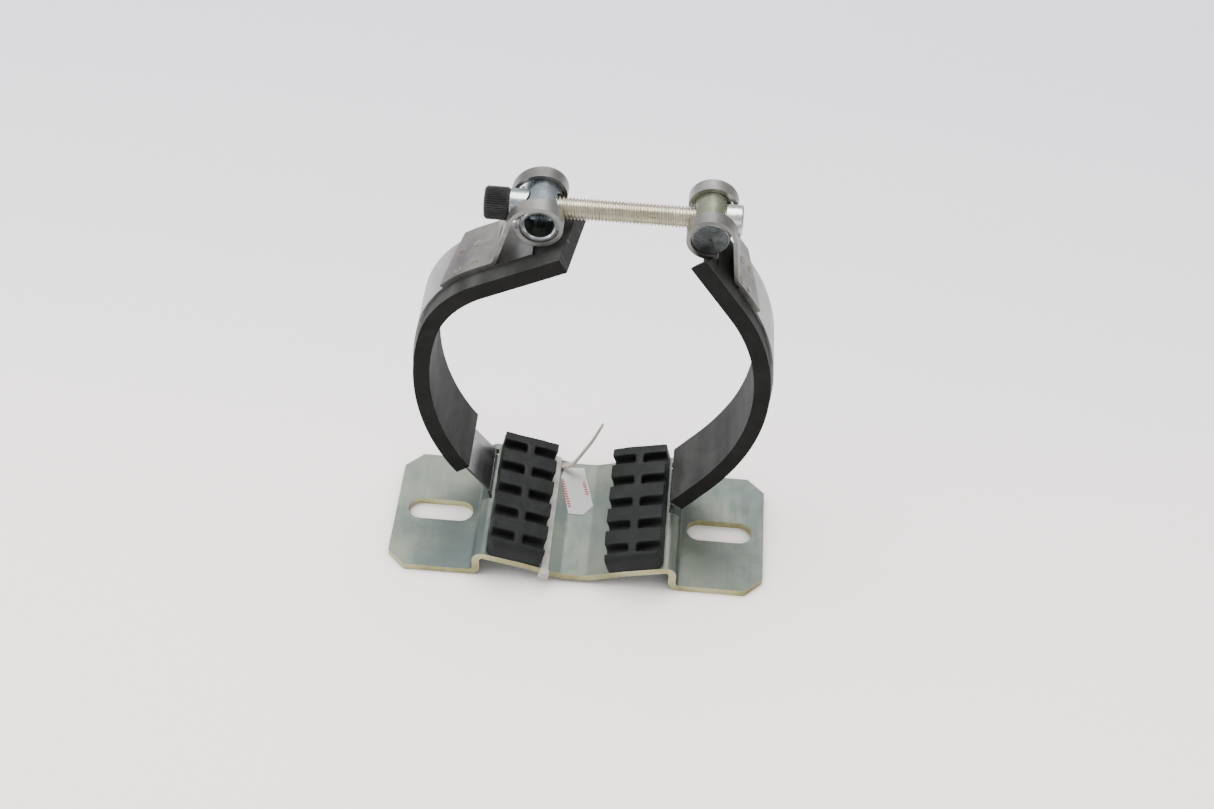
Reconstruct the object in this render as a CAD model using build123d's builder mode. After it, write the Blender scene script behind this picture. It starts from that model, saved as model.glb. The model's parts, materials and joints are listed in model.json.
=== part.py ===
"""Saddle-base band clamp with a cross-bar screw closure.

Millimetres, +Z up, origin on the floor at the centre of the foot bracket.
X runs from foot to foot, Y runs along the clamped pipe (front is -Y).
The clamp is modelled open and relaxed, the pose every joint counts from.
"""
import math
import os

from build123d import *

os.makedirs("parts", exist_ok=True)

# ---------------------------------------------------------------- driving sizes
# foot bracket
base_l, base_d, base_t = 150.0, 60.0, 3.0
corner_cut = 7.0
slot_pitch, slot_l, slot_w = 114.0, 26.5, 10.6
wall_x = 40.5                      # outside face of the step between foot and saddle
saddle_z, saddle_flat = 4.6, 4.0   # top and half width of the saddle's flat centre
kink_r, facet_r, knee_r, toe_r = 6.0, 30.0, 4.2, 1.6
slope_in, slope_out, facet_l = 17.0, 13.4, 13.6
# saddle pads
pad_t, groove_d, groove_w, spine_w = 8.6, 4.4, 4.6, 3.0
pad_skip, pad_outer_l = 8.4, 15.0
groove_pitch, groove_y0 = 12.0, -24.8
# band, straps and linings
band_y0, band_y1, band_t = 4.0, 26.4, 1.0
strap_y1 = 28.0                    # the loop straps are a little wider than the band
strap_t = 1.5
lining_y0, lining_y1, lining_t = -3.0, 26.2, 6.3
pivot_x, pivot_z = 37.7, 13.05     # where the band leaves the bracket
pivot_gap = 0.6
# closure
axis_y, axis_z = 16.0, 152.6       # clamp screw axis
left_bar_x, right_bar_x = -18.7, 41.7
bar_r, bar_y0, bar_y1 = 7.0, 4.5, 27.5
tube_r = 5.2                       # inside of the hollow left bar
screw_hole_r = 5.0                 # loose hole through the left bar
eye_r = bar_r + 0.08               # running fit of the bars in the eyes
window_w, window_z = 12.8, 141.6
screw_r, thread_r = 4.0, 4.06
screw_x1 = 52.4
head_r, head_x0, head_x1 = 6.0, -39.2, -30.2
hex_af, hex_d = 6.0, 4.0
collar_r, collar_x1 = 5.8, -21.0   # its end is hollowed to fit round the left bar
saddle_r = 7.45
seat_x, boss_x1, boss_r = 46.6, 52.8, 5.8
# small things
weld_r, weld_proud = 1.6, 0.2
tie_w, tie_t = 2.8, 1.0
tie_head_l, tie_head_w, tie_head_v = 3.0, 3.8, 0.4   # length, section, height on the loop
left_slant = 5.6                   # left lining is longer at the rear
lip_slant = 4.6                    # right lining's front lip is shorter at its rear
end_slant = {"left": left_slant, "right": 0.0}
eye_clear = 8.0                    # right lining is cut back behind its front lip

# ---------------------------------------------------------------- path helpers
# A path is a start point, a heading in degrees and a list of legs. A leg is
# (length,) for a straight or (radius, turn) for an arc, turn > 0 to the left.


def walk(start, heading, legs, shift=0.0):
    """Path shifted to its left: list of (p0, mid or None, p1), and the end state."""
    x, z, h = start[0], start[1], math.radians(heading)
    edges = []

    def at(px, pz, ph):
        return (px - shift * math.sin(ph), pz + shift * math.cos(ph))

    for leg in legs:
        p0 = at(x, z, h)
        if len(leg) == 1:
            x, z = x + leg[0] * math.cos(h), z + leg[0] * math.sin(h)
            edges.append((p0, None, at(x, z, h)))
            continue
        radius, turn = leg[0], math.radians(leg[1])
        side = 1 if turn > 0 else -1
        cx, cz = x - side * radius * math.sin(h), z + side * radius * math.cos(h)
        stops = []
        for part in (0.5, 1.0):
            a = h + turn * part
            px = cx + side * radius * math.sin(a)
            pz = cz - side * radius * math.cos(a)
            stops.append((px, pz, a))
        x, z, h = stops[1]
        edges.append((p0, at(*stops[0]), at(*stops[1])))
    return edges, (x, z, math.degrees(h))


def strip(start, heading, legs, low, high, y0, y1, hand=1):
    """Solid between two shifts of one path, from y0 to y1. hand=-1 mirrors X."""
    near, _ = walk(start, heading, legs, low)
    far, _ = walk(start, heading, legs, high)
    back = [(p1, mid, p0) for p0, mid, p1 in reversed(far)]
    loop = near + [(near[-1][2], None, back[0][0])] + back + [(back[-1][2], None, near[0][0])]
    edges = []
    for points in loop:
        at = [(hand * p[0], y0, p[1]) for p in points if p is not None]
        edges.append(Edge.make_line(*at) if len(at) == 2 else Edge.make_three_point_arc(*at))
    return Solid.extrude(Face(Wire(edges)), Vector(0, y1 - y0, 0))


def rod(x, radius, y0, y1):
    """Cylinder along Y at the height of the screw."""
    return Solid.make_cylinder(radius, y1 - y0, Plane(origin=(x, y0, axis_z), z_dir=(0, 1, 0)))


def bar(x0, x1, radius):
    """Cylinder along X on the screw axis."""
    return Solid.make_cylinder(radius, x1 - x0, Plane(origin=(x0, axis_y, axis_z), z_dir=(1, 0, 0)))


def block(x0, x1, y0, y1, z0, z1):
    """Box between corner values."""
    return Solid.make_box(x1 - x0, y1 - y0, z1 - z0, Plane((x0, y0, z0)))


def save(builder, name):
    builder.part.label = name
    export_step(builder.part, f"parts/{name}.step")


def cos_d(angle):
    return math.cos(math.radians(angle))


def sin_d(angle):
    return math.sin(math.radians(angle))


# ---------------------------------------------------------------- the paths
saddle_start = (0, saddle_z)
wing = [(saddle_flat,), (kink_r, slope_in), (facet_l,), (facet_r, slope_out - slope_in)]
_, (facet_x, _, _) = walk(saddle_start, 0, wing)
knee_start_x = wall_x - knee_r * (1 + sin_d(slope_out))
wing.append(((knee_start_x - facet_x) / cos_d(slope_out),))
knee = wing + [(knee_r, -90 - slope_out)]
_, (_, wall_top, _) = walk(saddle_start, 0, knee)
foot = knee + [(wall_top - base_t - toe_r,), (toe_r, 90), (base_l / 2 - wall_x - toe_r,)]

# inside faces of the bands, from the bracket up; the left one in mirrored X
arm_start = (37.3, 13.5)
lining_skip = {"left": 20.2, "right": 5.8}
arm_heading = {"left": 53.1, "right": 51.5}
arm_path = {
    "left": [(20.3,), (51.0, 7.0), (90.7, 44.5), (40.5, 48.6), (34.1,)],
    "right": [(19.6,), (104.3, 11.5), (80.5, 41.0), (71.1, 21.0), (27.9,)],
}
tongue_l = {"left": 23.0, "right": 6.0}
# loop straps: where they start on path leg 3, the run up to the bend, the wrap under the bar
strap_from = 3
strap_turn = {"left": 27.8, "right": 15.4}
strap_run = {"left": 6.6, "right": 8.4}
strap_bend = {"left": (3.0, -47.0), "right": (5.0, -29.0)}
strap_wrap = {"left": 82.0, "right": 24.0}
strap_slant = {"left": 8.4, "right": 10.5}     # the strap's end is cut back to the rear
bar_x = {"left": -left_bar_x, "right": right_bar_x}
# spot welds: distances along the strap from its end
weld_at = {"left": (8.6, 15.4), "right": (9.0, 14.0)}
weld_ys = (7.0, 18.0)


def first_part(legs, length):
    """The legs of a path up to a length along it."""
    kept = []
    for leg in legs:
        size = leg[0] if len(leg) == 1 else leg[0] * math.radians(abs(leg[1]))
        if size >= length:
            return kept + [(length,) if len(leg) == 1 else (leg[0], leg[1] * length / size)]
        kept.append(leg)
        length -= size
    return kept


def wedge(at, heading, hand, slant, y0, y1, side):
    """Block beyond a slanted line across a path: slant is how far the line moves from y0 to y1."""
    x, z = at
    plane = Plane(origin=(hand * x, 0, z), x_dir=(hand * cos_d(heading), 0, sin_d(heading)),
                  z_dir=(-sin_d(heading), 0, hand * cos_d(heading)))
    grow = slant / (y1 - y0)
    corners = [(side * 12, y0 - 1), (-grow, y0 - 1), (slant + grow, y1 + 1), (side * 12, y1 + 1)]
    outline = Wire.make_polygon([plane.from_local_coords(p) for p in corners])
    return Solid.extrude(Face(outline), plane.z_dir * 24).moved(Location(plane.z_dir * -12))


def eye_legs(start, heading, legs, x_bar, wrap):
    """Add to a strap centre line: free leg, shoulder and the eye round the bar.

    Leg length and shoulder radius are solved so that the loop closes on the bar.
    """
    r = eye_r + strap_t / 2
    _, (x, z, h) = walk(start, heading, legs)
    c, s = cos_d(h), sin_d(h)
    dx, dz = x_bar - x, axis_z + r - z
    det = c * (1 + c) + s * s
    leg_l = (dx * (1 + c) + dz * s) / det
    shoulder_r = (dz * c - dx * s) / det
    return legs + [(leg_l,), (shoulder_r, 180 - h), (r, 180.0 + wrap)]


# ---------------------------------------------------------------- foot bracket
with BuildPart() as base_plate:
    for hand in (-1, 1):
        add(strip(saddle_start, 0, foot, -base_t, 0, -base_d / 2, base_d / 2, hand))
    upright = base_plate.edges().filter_by(Axis.Z)
    chamfer(upright.filter_by(lambda e: abs(e.center().X) > base_l / 2 - 0.1), corner_cut)
    with BuildSketch(Plane.XY):
        with Locations((-slot_pitch / 2, 0), (slot_pitch / 2, 0)):
            SlotOverall(slot_l, slot_w)
    extrude(amount=base_t + 1, mode=Mode.SUBTRACT)
    for x0, x1 in ((-wall_x - 1, -35.9), (35.9, wall_x + 1)):
        add(block(x0, x1, -0.6, band_y1 + 0.4, 7.6, 20), mode=Mode.SUBTRACT)
save(base_plate, "base_plate")

# ---------------------------------------------------------------- saddle pads
_, (px, pz, ph) = walk(saddle_start, 0, [(saddle_flat,), (kink_r, slope_in), (pad_skip,)])
pad_legs = [(facet_l - pad_skip,), (facet_r, slope_out - slope_in), (pad_outer_l,)]
_, (qx, qz, qh) = walk((px, pz), ph, pad_legs)
column_l = (facet_l - pad_skip + 1.9 + pad_outer_l - spine_w) / 2
tool_l, tool_h = column_l + 4.0, groove_d + 4.0
groove = Solid.make_box(tool_l, groove_w, tool_h, Plane((-tool_l / 2, -groove_w / 2, 0)))
groove = groove.fillet(1.5, groove.edges().filter_by(Axis.X).group_by(Axis.Z)[0])
for name, hand in (("left_saddle_pad", -1), ("right_saddle_pad", 1)):
    with BuildPart() as pad:
        add(strip((px, pz), ph, pad_legs, 0, pad_t, -base_d / 2, base_d / 2, hand))
        front = pad.edges().filter_by(lambda e: abs(e.center().Y + base_d / 2) < 0.01)
        top = front.filter_by(lambda e: e.bounding_box().size.X > 1 and e.center().Z > pad_t + 6)
        fillet(top, 3.2)
        # cross grooves, open at both sides, with a spine left between them
        for x, z, h, way in ((px, pz, slope_in - 0.8, 1), (qx, qz, slope_out, -1)):
            reach = way * (column_l - 4.0) / 2
            depth = pad_t - groove_d
            cx = x + reach * cos_d(h) - depth * sin_d(h)
            cz = z + reach * sin_d(h) + depth * cos_d(h)
            for k in range(5):
                y = groove_y0 + k * groove_pitch
                place = Location((hand * cx, y, cz), (0, -hand * h, 0))
                add(groove.moved(place), mode=Mode.SUBTRACT)
    save(pad, name)

# ---------------------------------------------------------------- band under the saddle
mid_shift = base_t + band_t / 2
under_r = 1.5
under = [(saddle_flat,), (kink_r + mid_shift, slope_in), (facet_l,)]
under.append((facet_r - mid_shift, slope_out - slope_in))
under_start = (0, saddle_z - mid_shift)
_, (ux, _, _) = walk(under_start, 0, under)
under.append(((pivot_x - under_r * (1 - sin_d(slope_out)) - ux) / cos_d(slope_out),))
under.append((under_r, 90 - slope_out))
_, (_, uz, _) = walk(under_start, 0, under)
under.append((pivot_z - pivot_gap / 2 - uz,))
with BuildPart() as under_band:
    for hand in (-1, 1):
        add(strip(under_start, 0, under, -band_t / 2, band_t / 2, band_y0, band_y1, hand))
save(under_band, "under_band")

# ---------------------------------------------------------------- the two arms
for name, hand in (("left", -1), ("right", 1)):
    path, heading = arm_path[name], arm_heading[name]
    # centre line of the loop strap, on the band and then up to the bar
    mid = band_t + strap_t / 2
    arc_r, arc_turn = path[strap_from]
    on_start = path[:strap_from] + [(arc_r, strap_turn[name])]
    _, (x, z, h) = walk(arm_start, heading, on_start)
    start = (x + mid * sin_d(h), z - mid * cos_d(h))
    on_band = [(arc_r + mid, arc_turn - strap_turn[name]), (strap_run[name],)]
    # spot welds through strap and band
    weld_l = band_t + strap_t + weld_proud
    with BuildPart() as welds:
        for length in weld_at[name]:
            _, (wx, wz, wh) = walk(start, h, first_part(on_band, length))
            wx, wz = wx - mid * sin_d(wh), wz + mid * cos_d(wh)
            for y in weld_ys:
                out = Plane(origin=(hand * wx, y, wz), z_dir=(hand * sin_d(wh), 0, -cos_d(wh)))
                add(Solid.make_cylinder(weld_r, weld_l, out))
    # steel band on the outside of the lining, and its tongue
    legs = path[:-1] + [(tongue_l[name],)]
    with BuildPart() as band:
        add(strip(arm_start, heading, legs, -band_t, 0, band_y0, band_y1, hand))
        add(welds.part, mode=Mode.SUBTRACT)
    # loop strap, welded on the band and turned round the cross bar
    legs = eye_legs(start, h, on_band + [strap_bend[name]], bar_x[name], strap_wrap[name])
    with BuildPart() as strap:
        add(strip(start, h, legs, -strap_t / 2, strap_t / 2, band_y0, strap_y1, hand))
        y0, y1 = axis_y - window_w / 2, axis_y + window_w / 2
        add(block(-80, 80, y0, y1, window_z, 180), mode=Mode.SUBTRACT)
        add(wedge(start, h, hand, strap_slant[name], band_y0, strap_y1, -1), mode=Mode.SUBTRACT)
        add(welds.part, mode=Mode.SUBTRACT)
    # rubber lining, wider than the band and shifted to the front
    skip = lining_skip[name]
    _, lining_start = walk(arm_start, heading, [(skip,)])
    at = (lining_start[0], lining_start[1])
    legs = [(path[0][0] - skip,)] + path[1:]
    legs[-1] = (path[-1][0] + end_slant[name],)
    _, (ex, ez, eh) = walk(at, heading, legs[:-1] + path[-1:])
    with BuildPart() as lining:
        add(strip(at, heading, legs, 0, lining_t, lining_y0, lining_y1, hand))
        if name == "left":
            # slanted knife cut, longer at the rear
            add(wedge((ex, ez), eh, hand, left_slant, lining_y0, lining_y1, 1), mode=Mode.SUBTRACT)
        else:
            # slanted front lip, cut back behind it to clear the eye
            add(wedge((ex, ez), eh, hand, -lip_slant, lining_y0, band_y0, 1), mode=Mode.SUBTRACT)
            _, (nx, nz, nh) = walk(at, heading, legs[:-1] + [(path[-1][0] - eye_clear,)])
            low, high = -2, lining_t + 2
            behind = strip((nx, nz), nh, [(eye_clear + 2,)], low, high, band_y0 - 0.4, lining_y1 + 1, hand)
            add(behind, mode=Mode.SUBTRACT)
    save(band, f"{name}_band")
    save(strap, f"{name}_loop_strap")
    save(welds, f"{name}_spot_welds")
    save(lining, f"{name}_rubber_lining")

# ---------------------------------------------------------------- closure
with BuildPart() as left_cross_bar:
    add(rod(left_bar_x, bar_r, bar_y0, bar_y1))
    chamfer(left_cross_bar.edges().filter_by(GeomType.CIRCLE), 0.5)
    add(rod(left_bar_x, tube_r, bar_y0 - 1, bar_y1 + 1), mode=Mode.SUBTRACT)
    mouths = left_cross_bar.edges().filter_by(GeomType.CIRCLE)
    chamfer(mouths.filter_by(lambda e: abs(e.radius - tube_r) < 0.01), 0.55)
    add(bar(left_bar_x - 12, left_bar_x + 12, screw_hole_r), mode=Mode.SUBTRACT)
save(left_cross_bar, "left_cross_bar")

with BuildPart() as right_cross_bar:
    add(rod(right_bar_x, bar_r, bar_y0, bar_y1))
    chamfer(right_cross_bar.edges().filter_by(GeomType.CIRCLE), 0.6)
    seat_w = boss_r + 0.4
    add(block(seat_x, seat_x + 5, axis_y - seat_w, axis_y + seat_w, axis_z - 9, axis_z + 9),
        mode=Mode.SUBTRACT)
    add(bar(right_bar_x - 12, right_bar_x + 12, thread_r), mode=Mode.SUBTRACT)
save(right_cross_bar, "right_cross_bar")

with BuildPart() as right_bar_boss:
    add(bar(seat_x, boss_x1, boss_r))
    chamfer(right_bar_boss.edges().filter_by(GeomType.CIRCLE).sort_by(Axis.X)[-1], 0.5)
    add(bar(seat_x - 1, boss_x1 + 1, thread_r), mode=Mode.SUBTRACT)
save(right_bar_boss, "right_bar_boss")

with BuildPart() as clamp_screw:
    add(bar(head_x1, screw_x1, screw_r))
    chamfer(clamp_screw.edges().filter_by(GeomType.CIRCLE).sort_by(Axis.X)[-1], 0.8)
save(clamp_screw, "clamp_screw")

with BuildPart() as screw_head:
    add(bar(head_x0, head_x1, head_r))
    chamfer(screw_head.edges().filter_by(GeomType.CIRCLE), 0.5)
    with BuildSketch(Plane(origin=(head_x0, axis_y, axis_z), x_dir=(0, 1, 0), z_dir=(-1, 0, 0))):
        RegularPolygon(hex_af / 2, 6, major_radius=False)
    extrude(amount=-hex_d, mode=Mode.SUBTRACT)
save(screw_head, "screw_head")

with BuildPart() as spacer_collar:
    add(bar(head_x1, collar_x1, collar_r))
    chamfer(spacer_collar.edges().filter_by(GeomType.CIRCLE).sort_by(Axis.X)[0], 0.3)
    add(bar(head_x1 - 1, collar_x1 + 1, thread_r), mode=Mode.SUBTRACT)
    add(rod(left_bar_x, saddle_r, bar_y0 - 2, bar_y1 + 2), mode=Mode.SUBTRACT)
save(spacer_collar, "spacer_collar")

# ---------------------------------------------------------------- tie and label
_, (tx, tz, th) = walk(saddle_start, 0, [(saddle_flat,), (kink_r, slope_in), (pad_skip - 2.2,)])
tie_plane = Plane(origin=(-tx, 0, tz), x_dir=(0, 1, 0), z_dir=(cos_d(th), 0, -sin_d(th)))
tie_low = -base_t - band_t
half = base_d / 2
with BuildPart() as cable_tie_loop:
    with BuildSketch(tie_plane):
        with Locations((0, (tie_low) / 2)):
            RectangleRounded(2 * (half + tie_t + 0.1), -tie_low + 2 * tie_t, 1.2)
            Rectangle(2 * (half + 0.1), -tie_low, mode=Mode.SUBTRACT)
    extrude(amount=tie_w / 2, both=True)
save(cable_tie_loop, "cable_tie_loop")

with BuildPart() as cable_tie_head:
    with BuildSketch(tie_plane):
        with Locations((-half - tie_t - 0.1 - tie_head_l / 2, tie_head_v)):
            Rectangle(tie_head_l, tie_head_w)
    extrude(amount=tie_head_w / 2, both=True)
    chamfer(cable_tie_head.edges().filter_by(Axis.Y), 0.6)
save(cable_tie_head, "cable_tie_head")

# tail: a flat strip that leaves the loop behind the bracket, bends up and stands free
tail_start, tail_turn = (-9.6, 25.6, 7.3), -12.0
tail_legs = [(3.0,), (6.0, 40.0), (14.0,), (60.0, 5.0), (9.0,)]
with BuildPart() as cable_tie_tail:
    add(strip((0, 0), 25.0, tail_legs, -tie_t / 2, tie_t / 2, -tie_w / 2, tie_w / 2))
    tip = cable_tie_tail.faces().sort_by(Axis.Z)[-1].edges()
    chamfer(tip.filter_by(lambda e: abs(e.length - tie_t) < 0.01), 0.9)
tail_place = Location(tail_start, (0, 0, tail_turn))
cable_tie_tail.part = cable_tie_tail.part.moved(tail_place) - cable_tie_loop.part
save(cable_tie_tail, "cable_tie_tail")

label_shape = [(-8.5, 26.8), (-0.5, 27.6), (4.9, 6.9), (1.1, 1.6), (-4.9, 1.8), (-9.4, 20.0)]
label_t = 0.25
with BuildPart() as paper_label:
    for hand in (-1, 1):
        legs = [(saddle_flat,), (kink_r, slope_in), (4.0,)]
        add(strip(saddle_start, 0, legs, 0, label_t, -half, half, hand))
    with BuildSketch(Plane.XY):
        with BuildLine():
            Polyline(*label_shape, close=True)
        make_face()
    extrude(amount=20, mode=Mode.INTERSECT)
save(paper_label, "paper_label")
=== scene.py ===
"""Looks of the saddle-base band clamp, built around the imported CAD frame.

Metres, +Z up, X from foot to foot, Y along the clamped pipe (front is -Y).
Sheet, rubber, bar, tie and label pieces are cleaned copies of their CAD nodes with
broken edges. The screw's thread and its knurled head are modelled here.
"""
import json
import math

import bmesh
import bpy
from mathutils import Euler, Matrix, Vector


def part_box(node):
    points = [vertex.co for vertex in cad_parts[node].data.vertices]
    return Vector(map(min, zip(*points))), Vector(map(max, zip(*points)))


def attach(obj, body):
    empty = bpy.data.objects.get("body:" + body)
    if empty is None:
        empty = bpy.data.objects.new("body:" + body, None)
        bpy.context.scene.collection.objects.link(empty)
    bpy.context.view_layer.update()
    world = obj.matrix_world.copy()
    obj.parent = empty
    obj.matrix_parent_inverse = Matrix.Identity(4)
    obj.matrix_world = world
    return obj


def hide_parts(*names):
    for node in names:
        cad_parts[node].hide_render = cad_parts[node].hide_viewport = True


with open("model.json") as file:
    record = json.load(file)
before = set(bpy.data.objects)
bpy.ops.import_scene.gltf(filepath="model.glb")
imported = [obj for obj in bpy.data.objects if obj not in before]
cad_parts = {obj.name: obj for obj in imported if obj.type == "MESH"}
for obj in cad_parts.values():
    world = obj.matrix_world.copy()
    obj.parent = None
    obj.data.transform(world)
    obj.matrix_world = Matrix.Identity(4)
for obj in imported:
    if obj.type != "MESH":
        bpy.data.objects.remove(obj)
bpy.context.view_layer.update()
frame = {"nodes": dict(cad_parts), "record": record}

MM = 0.001
SIDES = ("left", "right")
BODY = {node: body for body, nodes in frame["record"]["behaviour"]["bodies"].items() for node in nodes}
scene = bpy.context.scene

# ---------------------------------------------------------------- camera
camera_data = bpy.data.cameras.new("camera")
camera_data.lens = 53.4
camera_data.sensor_width = 36.0
camera_data.clip_start = 0.01
camera_data.clip_end = 20.0
camera = bpy.data.objects.new("camera", camera_data)
camera.location = (0.0262, -0.4823, 0.5591)
camera.rotation_euler = Euler([math.radians(a) for a in (44.66, -2.13, 4.24)])
scene.collection.objects.link(camera)
scene.camera = camera


# ---------------------------------------------------------------- material helpers
class Shader:
    """One Principled material and short calls for the nodes that feed it."""

    def __init__(self, name, color, roughness, metallic=0.0, **sockets):
        self.material = bpy.data.materials.new(name)
        self.material.use_nodes = True
        self.nodes = self.material.node_tree.nodes
        self.links = self.material.node_tree.links
        self.bsdf = self.nodes["Principled BSDF"]
        self.bsdf.inputs["Base Color"].default_value = (*color, 1)
        self.bsdf.inputs["Roughness"].default_value = roughness
        self.bsdf.inputs["Metallic"].default_value = metallic
        for key, value in sockets.items():
            self.bsdf.inputs[key.replace("_", " ")].default_value = value
        self.coords = self.nodes.new("ShaderNodeTexCoord").outputs["Object"]

    def set(self, socket, value):
        if isinstance(value, bpy.types.NodeSocket):
            self.links.new(value, socket)
        else:
            socket.default_value = value

    def place(self, scale=(1, 1, 1), rotation=(0, 0, 0)):
        """Object coordinates, scaled and turned (degrees)."""
        node = self.nodes.new("ShaderNodeMapping")
        self.links.new(self.coords, node.inputs["Vector"])
        node.inputs["Scale"].default_value = scale
        node.inputs["Rotation"].default_value = [math.radians(a) for a in rotation]
        return node.outputs["Vector"]

    def noise(self, scale, detail=3.0, rough=0.55, stretch=(1, 1, 1), distortion=0.0):
        node = self.nodes.new("ShaderNodeTexNoise")
        self.links.new(self.place(stretch), node.inputs["Vector"])
        node.inputs["Scale"].default_value = scale
        node.inputs["Detail"].default_value = detail
        node.inputs["Roughness"].default_value = rough
        node.inputs["Distortion"].default_value = distortion
        return node.outputs["Fac"]

    def curve(self, value, low, high, to_low=0.0, to_high=1.0):
        """Smooth step from to_low at low to to_high at high."""
        node = self.nodes.new("ShaderNodeMapRange")
        node.interpolation_type = "SMOOTHSTEP"
        self.links.new(value, node.inputs["Value"])
        set_range(node, low, high, to_low, to_high)
        return node.outputs["Result"]

    def math(self, kind, a, b=0.0):
        node = self.nodes.new("ShaderNodeMath")
        node.operation = kind
        self.set(node.inputs[0], a)
        self.set(node.inputs[1], b)
        return node.outputs["Value"]

    def times(self, a, b):
        return self.math("MULTIPLY", a, b)

    def axes(self, vector=None):
        node = self.nodes.new("ShaderNodeSeparateXYZ")
        self.links.new(vector or self.coords, node.inputs["Vector"])
        return node.outputs

    def mix(self, factor, a, b):
        node = self.nodes.new("ShaderNodeMix")
        node.data_type = "RGBA"
        self.set(node.inputs["Factor"], factor)
        for socket, color in ((node.inputs["A"], a), (node.inputs["B"], b)):
            self.set(socket, (*color, 1) if isinstance(color, tuple) else color)
        return node.outputs["Result"]

    def color(self, value):
        self.links.new(value, self.bsdf.inputs["Base Color"])

    def roughness(self, value):
        self.links.new(value, self.bsdf.inputs["Roughness"])

    def bump(self, *layers):
        """Each layer is (height, depth in metres)."""
        normal = None
        for height, depth in layers:
            node = self.nodes.new("ShaderNodeBump")
            node.inputs["Strength"].default_value = 1.0
            node.inputs["Distance"].default_value = depth
            self.links.new(height, node.inputs["Height"])
            if normal:
                self.links.new(normal, node.inputs["Normal"])
            normal = node.outputs["Normal"]
        self.links.new(normal, self.bsdf.inputs["Normal"])


def set_range(node, low, high, to_low, to_high):
    """Fill the limits of a Map Range node."""
    limits = {"From Min": low, "From Max": high, "To Min": to_low, "To Max": to_high}
    for key, number in limits.items():
        node.inputs[key].default_value = number


def rubber(name, dark, dust_and_sheen, dust_from, dust_to, rough=0.62, gloss=0.3):
    """Moulded or cut rubber: dark ground, cloudy dust, fine grain. The lining gets a lighter copy as painted
    sheen and a darker one as painted shade.
    """
    s = Shader(name, dark, rough, Specular_IOR_Level=gloss)
    cloud = s.noise(38, 5, 0.62, distortion=0.6)
    smear = s.noise(90, 4, 0.6, stretch=(1, 0.22, 1))
    dust = s.math("ADD", s.times(cloud, 0.65), s.times(smear, 0.35))
    s.color(s.mix(s.curve(dust, dust_from, dust_to), dark, dust_and_sheen))
    s.roughness(s.curve(cloud, 0.3, 0.7, rough - 0.12, rough + 0.12))
    s.bump((s.noise(2600, 3), 0.03 * MM), (s.noise(420, 4, 0.6), 0.10 * MM))
    return s


def metal(name, low, high, rough, grain=(1, 1, 1), grain_scale=900, grain_depth=0.02, cloud=45):
    """Plated or rolled metal: colour clouds, directional grain (depth in mm), small scratches."""
    s = Shader(name, low, rough, 1.0)
    clouds = s.noise(cloud, 5, 0.6, distortion=0.4)
    s.color(s.mix(s.curve(clouds, 0.32, 0.68), low, high))
    lines = s.noise(grain_scale, 3, 0.6, stretch=grain)
    patch = s.times(s.noise(130, 5, 0.65), 0.6)
    wear = s.math("ADD", patch, s.times(lines, 0.4))
    s.roughness(s.curve(wear, 0.3, 0.7, rough - 0.09, rough + 0.13))
    s.bump((lines, grain_depth * MM), (s.noise(260, 4, 0.6), 0.03 * MM))
    return s


def end_material(name, low, high, node):
    """Turned end face of a bar along Y: dull rings round a darker centre pip."""
    ring_pitch, pip = 0.42 * MM, 1.1 * MM
    s = Shader(name, low, 0.36, 1.0)
    corner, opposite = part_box(node)
    x, _, z = s.axes()
    x_squared = s.math("POWER", s.math("SUBTRACT", x, (corner.x + opposite.x) / 2), 2.0)
    z_squared = s.math("POWER", s.math("SUBTRACT", z, (corner.z + opposite.z) / 2), 2.0)
    radius = s.math("SQRT", s.math("ADD", x_squared, z_squared))
    rings = s.math("SINE", s.times(radius, 2 * math.pi / ring_pitch))
    wobble = s.times(s.noise(500, 3), 1.5)
    s.bump((s.math("ADD", rings, wobble), 0.02 * MM), (s.noise(1300, 3), 0.02 * MM))
    tone = s.mix(s.curve(s.noise(420, 4, 0.6), 0.3, 0.7), low, high)
    s.color(s.mix(s.curve(radius, 0.0, pip), tuple(c * 0.4 for c in low), tone))
    s.roughness(s.curve(s.noise(300, 4), 0.3, 0.7, 0.30, 0.46))
    return s


def knife_cut():
    """Cut end of a rubber strip: pale streaks along the cut."""
    s = Shader("lining_knife_cut", (0.025, 0.025, 0.023), 0.5, Specular_IOR_Level=0.45)
    streaks = s.noise(260, 4, 0.65, stretch=(0.35, 1, 0.35), distortion=0.8)
    s.color(s.mix(s.curve(streaks, 0.52, 0.70), (0.020, 0.020, 0.018), (0.17, 0.17, 0.16)))
    s.bump((streaks, 0.3 * MM), (s.noise(1800, 3), 0.04 * MM))
    return s


def black_oxide():
    """Blackened steel, worn a little paler in spots."""
    s = Shader("black_oxide", (0.018, 0.018, 0.017), 0.42, Specular_IOR_Level=0.6)
    wear = s.noise(700, 4, 0.7)
    s.color(s.mix(s.curve(wear, 0.55, 0.8), (0.026, 0.026, 0.025), (0.11, 0.108, 0.10)))
    s.roughness(s.curve(wear, 0.3, 0.7, 0.34, 0.52))
    s.bump((s.noise(1500, 3), 0.03 * MM))
    return s


def nylon_plastic():
    """Milky nylon with a little light passing through."""
    s = Shader("nylon", (0.72, 0.71, 0.62), 0.38, Subsurface_Weight=0.25, Subsurface_Scale=0.002)
    s.color(s.mix(s.curve(s.noise(300, 4), 0.3, 0.7), (0.62, 0.61, 0.52), (0.80, 0.79, 0.72)))
    s.bump((s.noise(900, 3), 0.03 * MM))
    return s


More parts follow.
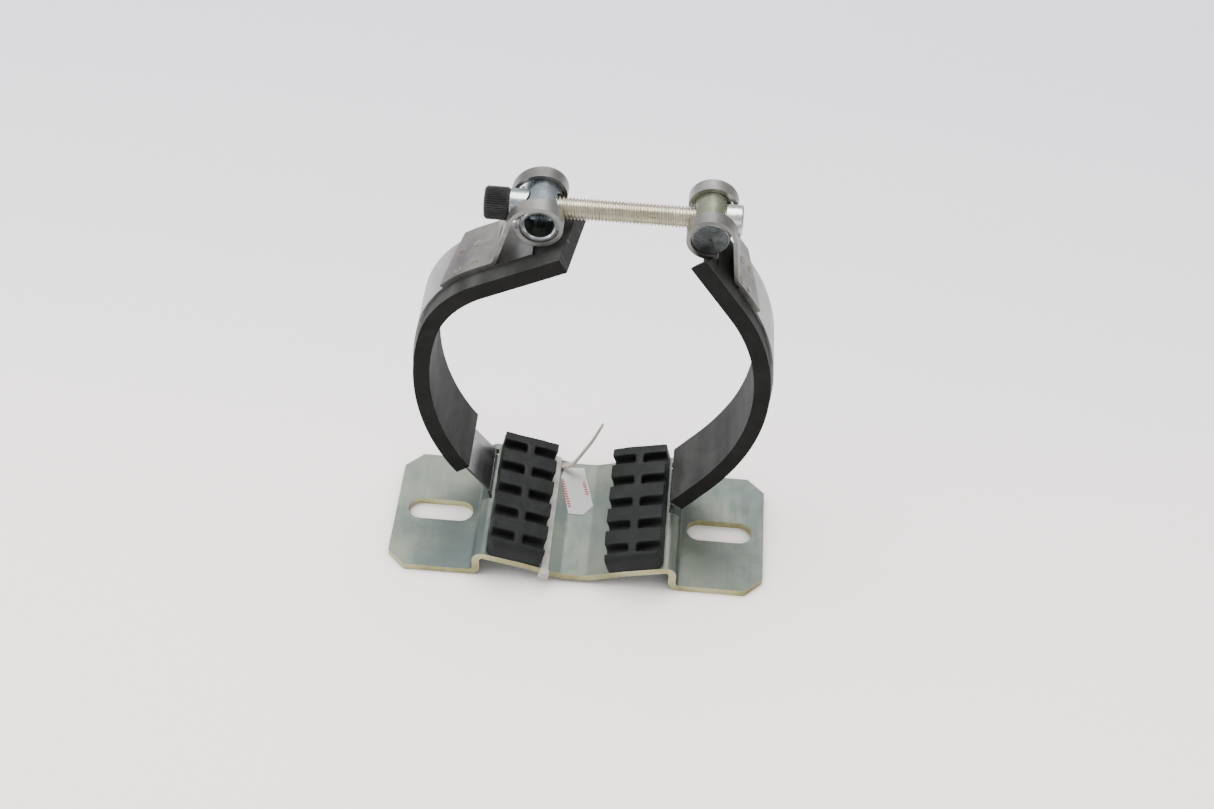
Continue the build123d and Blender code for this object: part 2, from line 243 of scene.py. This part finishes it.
def printed_paper():
    """Paper with two slanted rows of red dashes."""
    slant, dash_pitch = 17.1, 1.3 * MM
    rows = ((-2.9, 6.1, 21.1), (5.7, 11.0, 18.7))      # across, from, to, in mm
    s = Shader("paper", (0.86, 0.85, 0.84), 0.7, Specular_IOR_Level=0.3)
    x, y, _ = s.axes(s.place(rotation=(0, 0, -slant)))
    fibre = s.mix(s.curve(s.noise(800, 4), 0.3, 0.7), (0.82, 0.81, 0.80), (0.90, 0.89, 0.88))
    marks = None
    for row_x, y_from, y_to in rows:
        offset = s.math("ABSOLUTE", s.math("SUBTRACT", x, row_x * MM))
        across = s.curve(offset, 0.6 * MM, 0.75 * MM, 1.0, 0.0)
        starts = s.curve(y, (y_from - 0.1) * MM, (y_from + 0.1) * MM)
        stops = s.curve(y, (y_to - 0.1) * MM, (y_to + 0.1) * MM, 1.0, 0.0)
        dashes = s.curve(s.math("SINE", s.times(y, 2 * math.pi / dash_pitch)), -0.5, -0.3)
        row = s.times(s.times(across, s.times(starts, stops)), dashes)
        marks = s.math("MAXIMUM", marks, row) if marks else row
    s.color(s.mix(marks, fibre, (0.62, 0.10, 0.08)))
    s.bump((s.noise(500, 4), 0.06 * MM))
    return s


# ---------------------------------------------------------------- materials
ALONG_Y = (1, 0.06, 1)          # stretch of grain that runs along the pipe

zinc_sheet = metal("zinc_sheet", (0.185, 0.225, 0.215), (0.305, 0.340, 0.278), 0.46,
                   (1, 0.05, 1), 700, 0.012, 30)
# Cut edges of the bracket: their own yellow tint, made lighter than the sheet as painted highlight.
zinc_edge_tint_and_highlight = metal("zinc_edge_tint_and_highlight", (0.42, 0.385, 0.19), (0.74, 0.70, 0.42), 0.30, (1, 1, 0.1))
# Bevels of the bracket's edges: a bright copy of the zinc as painted highlight.
zinc_rim_highlight = metal("zinc_rim_highlight", (0.80, 0.75, 0.46), (0.97, 0.93, 0.68), 0.22,
                 grain_depth=0.01, cloud=60)
band_metal = metal("band_metal", (0.46, 0.46, 0.46), (0.64, 0.64, 0.635), 0.33,
                   (1, 0.04, 1), 1300, 0.015)
strap_metal = metal("strap_metal", (0.32, 0.305, 0.29), (0.50, 0.48, 0.455), 0.36,
                    (0.06, 1, 0.06), 1300)
# Cut sides of straps and bands: darker than the faces as painted shade.
strap_edge_shade = metal("strap_edge_shade", (0.20, 0.20, 0.19), (0.40, 0.39, 0.37), 0.36,
                   grain_scale=1200, grain_depth=0.03)
bar_zinc = metal("bar_zinc", (0.50, 0.55, 0.57), (0.76, 0.80, 0.82), 0.24,
                 grain_scale=420, grain_depth=0.06)
# Chamfers of the bars: brighter than the skin as painted highlight.
bar_rim_highlight = metal("bar_rim_highlight", (0.60, 0.63, 0.64), (0.86, 0.88, 0.88), 0.2, grain_depth=0.01)
boss_metal = metal("boss_metal", (0.70, 0.70, 0.66), (0.97, 0.96, 0.92), 0.25,
                   grain_scale=420, grain_depth=0.12, cloud=200)
thread_zinc = metal("thread_zinc", (0.66, 0.63, 0.50), (0.86, 0.83, 0.70), 0.33,
                    (1, 0.3, 0.3), 500, 0.005, 70)
weld_tint = metal("weld_tint", (0.30, 0.25, 0.18), (0.55, 0.52, 0.46), 0.38,
                  grain_depth=0.05, cloud=500)
left_skin = metal("left_bar_skin", (0.34, 0.40, 0.42), (0.62, 0.69, 0.71), 0.22, ALONG_Y, 1100)
# Inside the left bar's bore: darker than its skin as painted shade.
left_bore_shade = metal("left_bar_bore_shade", (0.07, 0.10, 0.10), (0.22, 0.27, 0.27), 0.3, ALONG_Y, 900)
right_skin = metal("right_bar_skin", (0.34, 0.37, 0.25), (0.52, 0.54, 0.40), 0.24, ALONG_Y, 1100)
left_end = end_material("left_bar_end", (0.13, 0.14, 0.14), (0.24, 0.26, 0.26), "left_cross_bar")
right_end = end_material("right_bar_end", (0.085, 0.095, 0.095), (0.17, 0.18, 0.18), "right_cross_bar")

pad_rubber = rubber("pad_rubber", (0.011, 0.012, 0.012), (0.030, 0.033, 0.034), 0.48, 0.72, 0.58, 0.4)
# Lining: the broad faces are a lit copy, real dust lightened as painted sheen; the front and back sides are
# a shaded copy, darker as painted shade.
lining_rubber = rubber("lining_rubber", (0.018, 0.018, 0.017), (0.088, 0.088, 0.084), 0.34, 0.66)
lining_side_shade = rubber("lining_side_shade", (0.008, 0.008, 0.007), (0.026, 0.026, 0.023), 0.40, 0.72, 0.62, 0.2)
lining_cut = knife_cut()
black = black_oxide()
nylon = nylon_plastic()
paper = printed_paper()


# ---------------------------------------------------------------- mesh helpers
SHARP = math.radians(35)        # edges over this angle are bevelled and shaded sharp


def finish_piece(piece, node, materials):
    """Link, give materials, ride on the body of the node it stands for, and hide the node."""
    for shader in materials:
        piece.data.materials.append(shader.material)
    scene.collection.objects.link(piece)
    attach(piece, BODY[node])
    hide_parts(node)


def clean_mesh(node):
    """CAD node's mesh with shared vertices and whole flat faces."""
    bm = bmesh.new()
    bm.from_mesh(frame["nodes"][node].data)
    bmesh.ops.remove_doubles(bm, verts=bm.verts, dist=0.002 * MM)
    bmesh.ops.dissolve_limit(bm, angle_limit=math.radians(0.4), verts=bm.verts, edges=bm.edges)
    bmesh.ops.recalc_face_normals(bm, faces=bm.faces)
    bm.verts.index_update()
    mesh = bpy.data.meshes.new(f"{node}_look")
    mesh.from_pydata([v.co.copy() for v in bm.verts], [], [[v.index for v in f.verts] for f in bm.faces])
    bm.free()
    mesh.update()
    return mesh


def refine(node, materials, edge=0.25, segments=3, choose=None, edge_material=-1):
    """A copy of a CAD node with edges rounded by edge mm. choose(face) gives its material index."""
    mesh = clean_mesh(node)
    piece = bpy.data.objects.new(f"{node}_look", mesh)
    finish_piece(piece, node, materials)
    if choose:
        for face in mesh.polygons:
            face.material_index = choose(face)
    mesh.shade_smooth()
    mesh.set_sharp_from_angle(angle=SHARP)
    bevel = piece.modifiers.new("edges", "BEVEL")
    bevel.width = edge * MM
    bevel.segments = segments
    bevel.limit_method = "ANGLE"
    bevel.angle_limit = SHARP
    bevel.harden_normals = True
    bevel.material = edge_material
    bevel.use_clamp_overlap = True


def sheet_side(face):
    """1 on the cut sides of a strip along the arm (darker, as painted shade), 0 on its flat faces."""
    return int(abs(face.normal.y) > 0.5)


# ---------------------------------------------------------------- foot bracket
SHEET_T = 3 * MM
STEP_X = 43 * MM                # beyond this the bracket is only its flat feet
foot_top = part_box("base_plate")[0].z + SHEET_T


def base_face(face):
    """1 on the sheet's cut edges, slots included (own yellow tint, lightened as painted highlight), 0
    elsewhere.
    """
    n, c = face.normal, face.center
    foot_edge = abs(n.z) < 0.3 and c.z < foot_top and abs(c.x) > STEP_X
    return int(abs(n.y) > 0.3 or foot_edge)


# Material 2 on the bevels is the painted highlight.
refine("base_plate", [zinc_sheet, zinc_edge_tint_and_highlight, zinc_rim_highlight], 0.45, 3, base_face, 2)
refine("under_band", [band_metal, strap_edge_shade], 0.12, 2, sheet_side)

# ---------------------------------------------------------------- bands and straps
for side in SIDES:
    refine(f"{side}_band", [band_metal, strap_edge_shade], 0.12, 2, sheet_side)
    refine(f"{side}_loop_strap", [strap_metal, strap_edge_shade], 0.2, 2, sheet_side)
    refine(f"{side}_spot_welds", [weld_tint], 0.12, 2)

# ---------------------------------------------------------------- linings
CUT_ZONE = 12 * MM              # height of the zone that holds a lining's upper end


def lining_face(side):
    """Chooser: 0 on the broad faces (lighter, painted sheen on real dust), 1 on the sides (darker, painted
    shade), 2 on the slanted upper end.
    """
    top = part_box(f"{side}_rubber_lining")[1].z

    def choose(face):
        n = face.normal
        if abs(n.y) > 0.9:
            return 1
        top_end = face.center.z > top - CUT_ZONE and abs(n.x) > 0.35 and abs(n.y) > 0.05
        return 2 if top_end else 0

    return choose


for side in SIDES:
    materials = [lining_rubber, lining_side_shade, lining_cut]
    refine(f"{side}_rubber_lining", materials, 0.35, 2, lining_face(side), 1)


# ---------------------------------------------------------------- saddle pads
def soft_pad(side):
    """Ribbed pad with rounded, slightly wavy blocks, as moulded rubber has."""
    node = f"{side}_saddle_pad"
    piece = bpy.data.objects.new(f"{node}_look", clean_mesh(node))
    finish_piece(piece, node, [pad_rubber])
    grid = piece.modifiers.new("grid", "REMESH")
    grid.mode = "VOXEL"
    grid.voxel_size = 0.42 * MM
    grid.use_smooth_shade = True
    soft = piece.modifiers.new("soft", "SMOOTH")
    soft.factor = 0.5
    soft.iterations = 9
    wave = piece.modifiers.new("wave", "DISPLACE")
    clouds = bpy.data.textures.new(f"{side}_pad_clouds", "CLOUDS")
    clouds.noise_scale = 6 * MM
    wave.texture = clouds
    wave.texture_coords = "LOCAL"
    wave.strength = 0.5 * MM
    wave.mid_level = 0.5


for side in SIDES:
    soft_pad(side)


# ---------------------------------------------------------------- bars and collar
def bar_face(node):
    """Chooser for a bar along Y: 0 skin, 1 chamfers (painted highlight), 2 end faces, 3 inside a bore
    (painted shade on the left bar).
    """
    low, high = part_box(node)
    cx, cz = (low.x + high.x) / 2, (low.z + high.z) / 2
    bore_limit = (high.z - low.z) / 2 * 0.85

    def choose(face):
        n, c = face.normal, face.center
        if abs(n.y) > 0.95:
            return 2
        if abs(n.y) > 0.3:
            return 1
        inward = n.x * (c.x - cx) + n.z * (c.z - cz) < 0
        return 3 if inward and math.hypot(c.x - cx, c.z - cz) < bore_limit else 0

    return choose


refine("left_cross_bar", [left_skin, bar_rim_highlight, left_end, left_bore_shade], 0.12, 2, bar_face("left_cross_bar"))
refine("right_cross_bar", [right_skin, bar_rim_highlight, right_end, right_skin], 0.15, 2, bar_face("right_cross_bar"))
refine("right_bar_boss", [boss_metal], 0.35, 3)
refine("spacer_collar", [bar_zinc], 0.2, 2)


# ---------------------------------------------------------------- screw head
def lathe(name, rows, around, center, radius_at):
    """Closed skin round an X axis. rows are X values, radius_at(row, angle) is metres."""
    verts, faces = [], []
    for i, x in enumerate(rows):
        for k in range(around):
            a = 2 * math.pi * k / around
            r = radius_at(i, a)
            verts.append((x, center.y + r * math.cos(a), center.z + r * math.sin(a)))
    for i in range(len(rows) - 1):
        for k in range(around):
            a, b = i * around + k, i * around + (k + 1) % around
            faces.append((a, b, b + around, a + around))
    faces.append(tuple(reversed(range(around))))
    faces.append(tuple((len(rows) - 1) * around + k for k in range(around)))
    mesh = bpy.data.meshes.new(name)
    mesh.from_pydata(verts, [], faces)
    bm = bmesh.new()
    bm.from_mesh(mesh)
    bmesh.ops.remove_doubles(bm, verts=bm.verts, dist=0.001 * MM)
    bmesh.ops.recalc_face_normals(bm, faces=bm.faces)
    bm.to_mesh(mesh)
    bm.free()
    return bpy.data.objects.new(name, mesh)


HEX_R, SOCKET = 3.0 * MM, 4.0 * MM              # hexagon's inscribed radius, socket's depth
RIDGES, RIDGE_DEPTH = 46, 0.5 * MM
head_low, head_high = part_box("screw_head")
screw_axis = (head_low + head_high) / 2
head_r = (head_high.z - head_low.z) / 2
head_l = head_high.x - head_low.x
HEAD_ROWS = [   # (X from the outer end, radius, share of the ridge depth, share of the hexagon)
    (SOCKET + 0.9 * MM, 0.0, 0, 0),
    (SOCKET, HEX_R * 0.98, 0, 1),
    (0.35 * MM, HEX_R, 0, 1),
    (0.0, HEX_R + 0.35 * MM, 0, 0.6),
    (0.0, head_r - 0.95 * MM, 0, 0),
    (0.12 * MM, head_r - 0.62 * MM, 0, 0),
    (0.55 * MM, head_r - 0.28 * MM, 0.2, 0),
    (0.9 * MM, head_r, 1, 0),
    (head_l / 2, head_r, 1, 0),
    (head_l - 0.9 * MM, head_r, 1, 0),
    (head_l - 0.5 * MM, head_r - 0.28 * MM, 0.2, 0),
    (head_l - 0.1 * MM, head_r - 0.6 * MM, 0, 0),
    (head_l, head_r - 0.9 * MM, 0, 0),
]


def head_radius(row, a):
    """Radius of the head: the hexagon in its socket, ridges on its outside."""
    _, r, ridge, hexagon = HEAD_ROWS[row]
    sector = (a + math.pi / 6) % (math.pi / 3) - math.pi / 6
    flat = HEX_R / math.cos(sector)
    groove = (0.5 - 0.5 * math.cos(a * RIDGES)) ** 0.7 * RIDGE_DEPTH * ridge
    return r * (1 - hexagon) + hexagon * flat * (r / HEX_R if r else 1) - groove


head_xs = [head_low.x + row[0] for row in HEAD_ROWS]
head = lathe("screw_head_look", head_xs, RIDGES * 10, screw_axis, head_radius)
head.data.shade_smooth()
head.data.set_sharp_from_angle(angle=math.radians(38))
finish_piece(head, "screw_head", [black])

# ---------------------------------------------------------------- threaded screw
PITCH, CREST, ROOT = 1.25 * MM, 4.0 * MM, 3.3 * MM
CORE = 3.05 * MM                # radius of the rows that close the two ends
TIP = 1.0 * MM                  # length of the point's taper
AROUND = 48
PROFILE = [(0.0, ROOT), (0.12, ROOT), (0.45, CREST), (0.58, CREST), (0.9, ROOT)]   # (turn, radius)


def thread_mesh(low_x, high_x):
    """Thread between two X values. Rows follow the helix, so crests and roots are clean lines."""
    verts, faces = [], []
    turns = int((high_x - low_x) / PITCH) + 3
    for turn in range(turns):
        for offset, radius in PROFILE:
            for k in range(AROUND + 1):
                x = low_x + PITCH * (turn - 1.5 + offset + k / AROUND)
                inside = min(max(x, low_x), high_x)
                taper = max(0.0, TIP - (high_x - inside)) * 0.9
                r = min(radius, CREST - taper)
                if x > high_x + 0.3 * MM or x < low_x - 0.3 * MM:
                    r = min(r, CORE)
                a = 2 * math.pi * k / AROUND
                verts.append((inside, screw_axis.y + r * math.cos(a), screw_axis.z + r * math.sin(a)))
    row = AROUND + 1
    for j in range(turns * len(PROFILE) - 1):
        for k in range(AROUND):
            a = j * row + k
            faces.append((a, a + 1, a + 1 + row, a + row))
    mesh = bpy.data.meshes.new("clamp_screw_look")
    mesh.from_pydata(verts, [], faces)
    bm = bmesh.new()
    bm.from_mesh(mesh)
    bmesh.ops.remove_doubles(bm, verts=bm.verts, dist=0.004 * MM)
    bmesh.ops.dissolve_degenerate(bm, edges=bm.edges, dist=0.002 * MM)
    for x in (low_x, high_x):
        at_end = [e for e in bm.edges if all(abs(v.co.x - x) < 0.02 * MM for v in e.verts)]
        rim = [e for e in at_end if e.is_boundary]
        if rim:
            bmesh.ops.holes_fill(bm, edges=rim, sides=0)
    bmesh.ops.recalc_face_normals(bm, faces=bm.faces)
    bm.to_mesh(mesh)
    bm.free()
    mesh.shade_smooth()
    mesh.set_sharp_from_angle(angle=math.radians(30))
    return mesh


screw_low, screw_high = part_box("clamp_screw")
screw = bpy.data.objects.new("clamp_screw_look", thread_mesh(screw_low.x, screw_high.x))
finish_piece(screw, "clamp_screw", [thread_zinc])

# ---------------------------------------------------------------- tie and label
refine("cable_tie_loop", [nylon], 0.3, 3)
refine("cable_tie_head", [nylon], 0.4, 3)
refine("cable_tie_tail", [nylon], 0.3, 3)
refine("paper_label", [paper], 0.05, 1)


# ---------------------------------------------------------------- floor
def floor_material():
    """Pale floor, warmer in front and cooler behind.

    Its glow is seen only directly, so it lights nothing. The glow is dimmer behind as a painted falloff of
    light, and fades under the object as a painted contact shadow.
    """
    near, far = -0.15, 0.40     # Y where the tone starts and stops changing
    s = Shader("floor", (0.80, 0.79, 0.78), 0.75, Specular_IOR_Level=0.25)
    depth = s.axes()["Y"]
    s.color(s.mix(s.curve(depth, near, far), (0.93, 0.912, 0.895), (0.83, 0.832, 0.865)))
    # Painted light: the glow is brighter in front and dimmer behind.
    glow = s.mix(s.curve(depth, near, far), (1.25, 1.10, 1.0), (0.62, 0.60, 0.72))
    s.links.new(glow, s.bsdf.inputs["Emission Color"])
    seen_directly = s.nodes.new("ShaderNodeLightPath").outputs["Is Camera Ray"]
    cover = s.nodes.new("ShaderNodeAmbientOcclusion")
    cover.samples = 8
    cover.inputs["Distance"].default_value = 0.045
    # Painted contact shadow: the glow fades where occlusion finds the object close.
    glow_outside_painted_shadow = s.times(s.curve(cover.outputs["AO"], 0.25, 1.0), 1.2)
    s.links.new(s.times(seen_directly, glow_outside_painted_shadow), s.bsdf.inputs["Emission Strength"])
    s.bump((s.noise(60, 3), 0.1 * MM))
    return s.material


FLOOR_HALF = 6
floor_mesh = bpy.data.meshes.new("floor")
floor_corners = [(x * FLOOR_HALF, y * FLOOR_HALF, 0) for x, y in ((-1, -1), (1, -1), (1, 1), (-1, 1))]
floor_mesh.from_pydata(floor_corners, [], [(0, 1, 2, 3)])
floor_mesh.materials.append(floor_material())
floor = bpy.data.objects.new("floor", floor_mesh)
scene.collection.objects.link(floor)


# ---------------------------------------------------------------- world
def world_ramp(tree, value, low, high, to_low, to_high):
    """Straight ramp of a value in the world's node tree."""
    node = tree.nodes.new("ShaderNodeMapRange")
    tree.links.new(value, node.inputs["Value"])
    set_range(node, low, high, to_low, to_high)
    return node.outputs["Result"]


def studio_world():
    """Soft white room. Reflections see a darker front and right side than the plain backdrop."""
    world = bpy.data.worlds.new("studio")
    world.use_nodes = True
    tree = world.node_tree
    split = tree.nodes.new("ShaderNodeSeparateXYZ")
    tree.links.new(tree.nodes.new("ShaderNodeTexCoord").outputs["Generated"], split.inputs["Vector"])
    sky = tree.nodes.new("ShaderNodeValToRGB")
    tree.links.new(split.outputs["Z"], sky.inputs["Fac"])
    horizon, zenith = sky.color_ramp.elements
    horizon.position = 0.0
    horizon.color = (0.62, 0.62, 0.64, 1)
    zenith.position = 0.55
    zenith.color = (0.86, 0.87, 0.90, 1)
    shade = tree.nodes.new("ShaderNodeMath")
    shade.operation = "MULTIPLY"
    tree.links.new(world_ramp(tree, split.outputs["Y"], -1.0, 0.1, 0.35, 1.0), shade.inputs[0])
    tree.links.new(world_ramp(tree, split.outputs["X"], -0.2, 1.0, 1.0, 0.35), shade.inputs[1])
    dim = tree.nodes.new("ShaderNodeMix")
    dim.data_type = "RGBA"
    dim.inputs["A"].default_value = (0.10, 0.10, 0.105, 1)
    tree.links.new(shade.outputs["Value"], dim.inputs["Factor"])
    tree.links.new(sky.outputs["Color"], dim.inputs["B"])
    seen = tree.nodes.new("ShaderNodeMix")
    seen.data_type = "RGBA"
    tree.links.new(tree.nodes.new("ShaderNodeLightPath").outputs["Is Camera Ray"], seen.inputs["Factor"])
    tree.links.new(dim.outputs["Result"], seen.inputs["A"])
    seen.inputs["B"].default_value = (0.80, 0.80, 0.82, 1)
    background = tree.nodes["Background"]
    tree.links.new(seen.outputs["Result"], background.inputs["Color"])
    background.inputs["Strength"].default_value = 0.9
    return world


scene.world = studio_world()


# ---------------------------------------------------------------- lights
def area_light(name, location, target_z, size, power, color):
    """Rectangular light that points at a height above the origin."""
    data = bpy.data.lights.new(name, "AREA")
    data.shape = "RECTANGLE"
    data.size, data.size_y = size
    data.energy = power
    data.color = color
    light = bpy.data.objects.new(name, data)
    light.location = location
    aim = Vector((0, 0, target_z)) - Vector(location)
    light.rotation_euler = aim.to_track_quat("-Z", "Y").to_euler()
    scene.collection.objects.link(light)


area_light("overhead", (-0.15, 0.35, 1.3), 0.05, (1.3, 0.9), 17.0, (1.0, 0.99, 0.98))
area_light("front_fill", (0.5, -1.3, 0.8), 0.07, (1.2, 0.8), 4.0, (1.0, 0.97, 0.94))
area_light("left_fill", (-1.2, -0.2, 0.7), 0.07, (0.8, 0.8), 5.5, (0.96, 0.98, 1.0))
